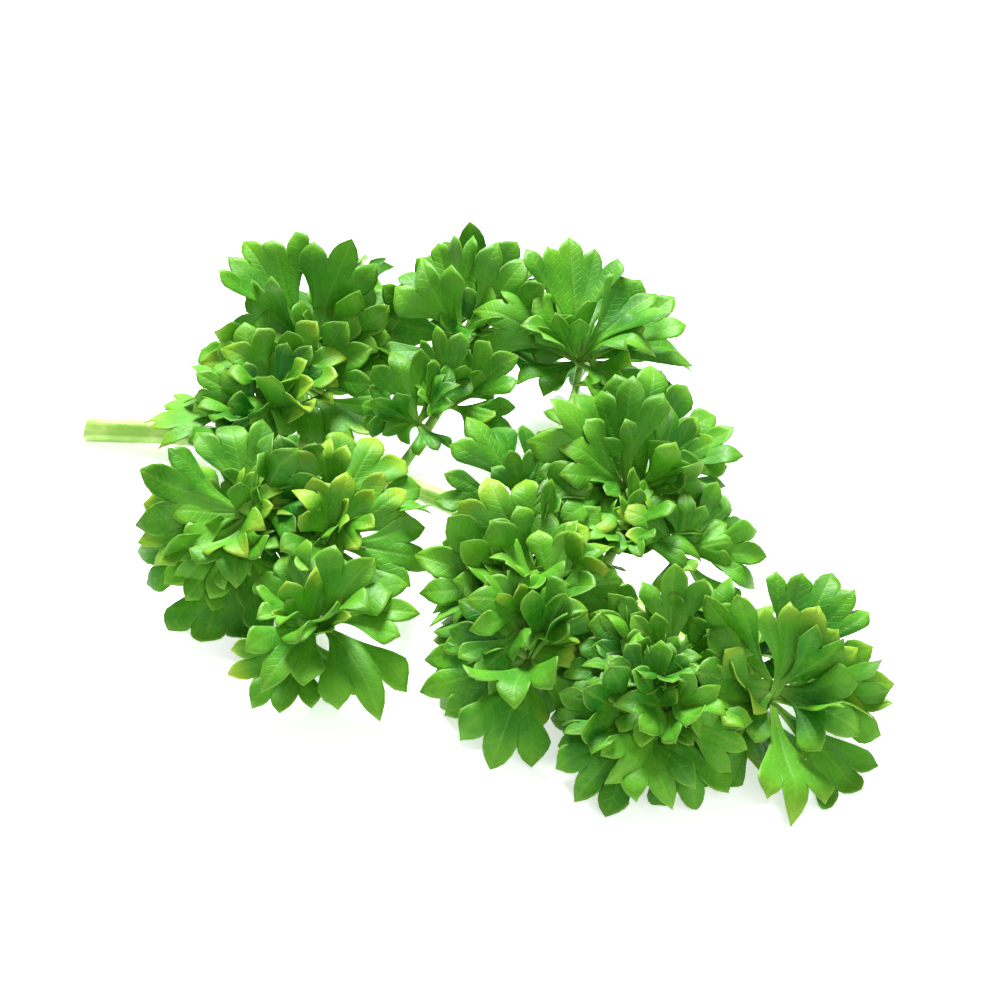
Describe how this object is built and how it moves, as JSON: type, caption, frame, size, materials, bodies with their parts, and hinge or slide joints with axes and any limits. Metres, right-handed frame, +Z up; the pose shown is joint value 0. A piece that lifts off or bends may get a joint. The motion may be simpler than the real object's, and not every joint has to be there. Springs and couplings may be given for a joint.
{
  "type": "curly parsley sprig",
  "caption": "Cut sprig of curly parsley lying on its side: a bare stem end, side stalks and lobed, crisped leaflets. A garnish or a kitchen prop.",
  "frame": {"origin": "middle of the underside of the bounding box, on the surface that the sprig lies on", "axes": "+X along the stem from its cut end to the end leaflets, +Y to the far side of the sprig, +Z up"},
  "size_m": [0.111, 0.079, 0.0239],
  "materials": {
    "leaf": "satin leaf surface, mid green, paler at the lobe tips; stem and stalks light yellow-green and smooth"
  },
  "bodies": {
    "root": {"parsley_sprig": "leaf"}
  },
  "joints": []
}
